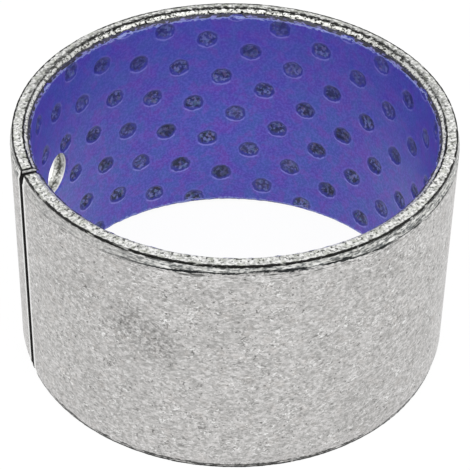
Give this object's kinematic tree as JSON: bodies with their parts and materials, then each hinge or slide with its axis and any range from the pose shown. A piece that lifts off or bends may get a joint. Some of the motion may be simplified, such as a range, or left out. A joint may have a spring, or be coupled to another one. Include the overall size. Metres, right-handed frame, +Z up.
{
  "type": "king pin bushing",
  "caption": "Wrapped plain bush with a steel back and an acetal lining stamped with grease pockets, open at a butt joint, with one grease hole.",
  "frame": {"origin": "on the bore axis, in the plane of the lower end face", "axes": "+Z up the bore axis; the butt joint is at azimuth 203.2 degrees and the grease hole at 158.2 degrees, both from +X towards +Y"},
  "size_m": [0.055, 0.055, 0.032],
  "materials": {
    "plated_steel": "dull tin plate, faintly mottled, with rough turned end chamfers",
    "acetal": "satin blue-violet acetal with dark rough grease pockets"
  },
  "bodies": {
    "root": {"steel_back": "plated_steel", "acetal_lining": "acetal"}
  },
  "joints": []
}
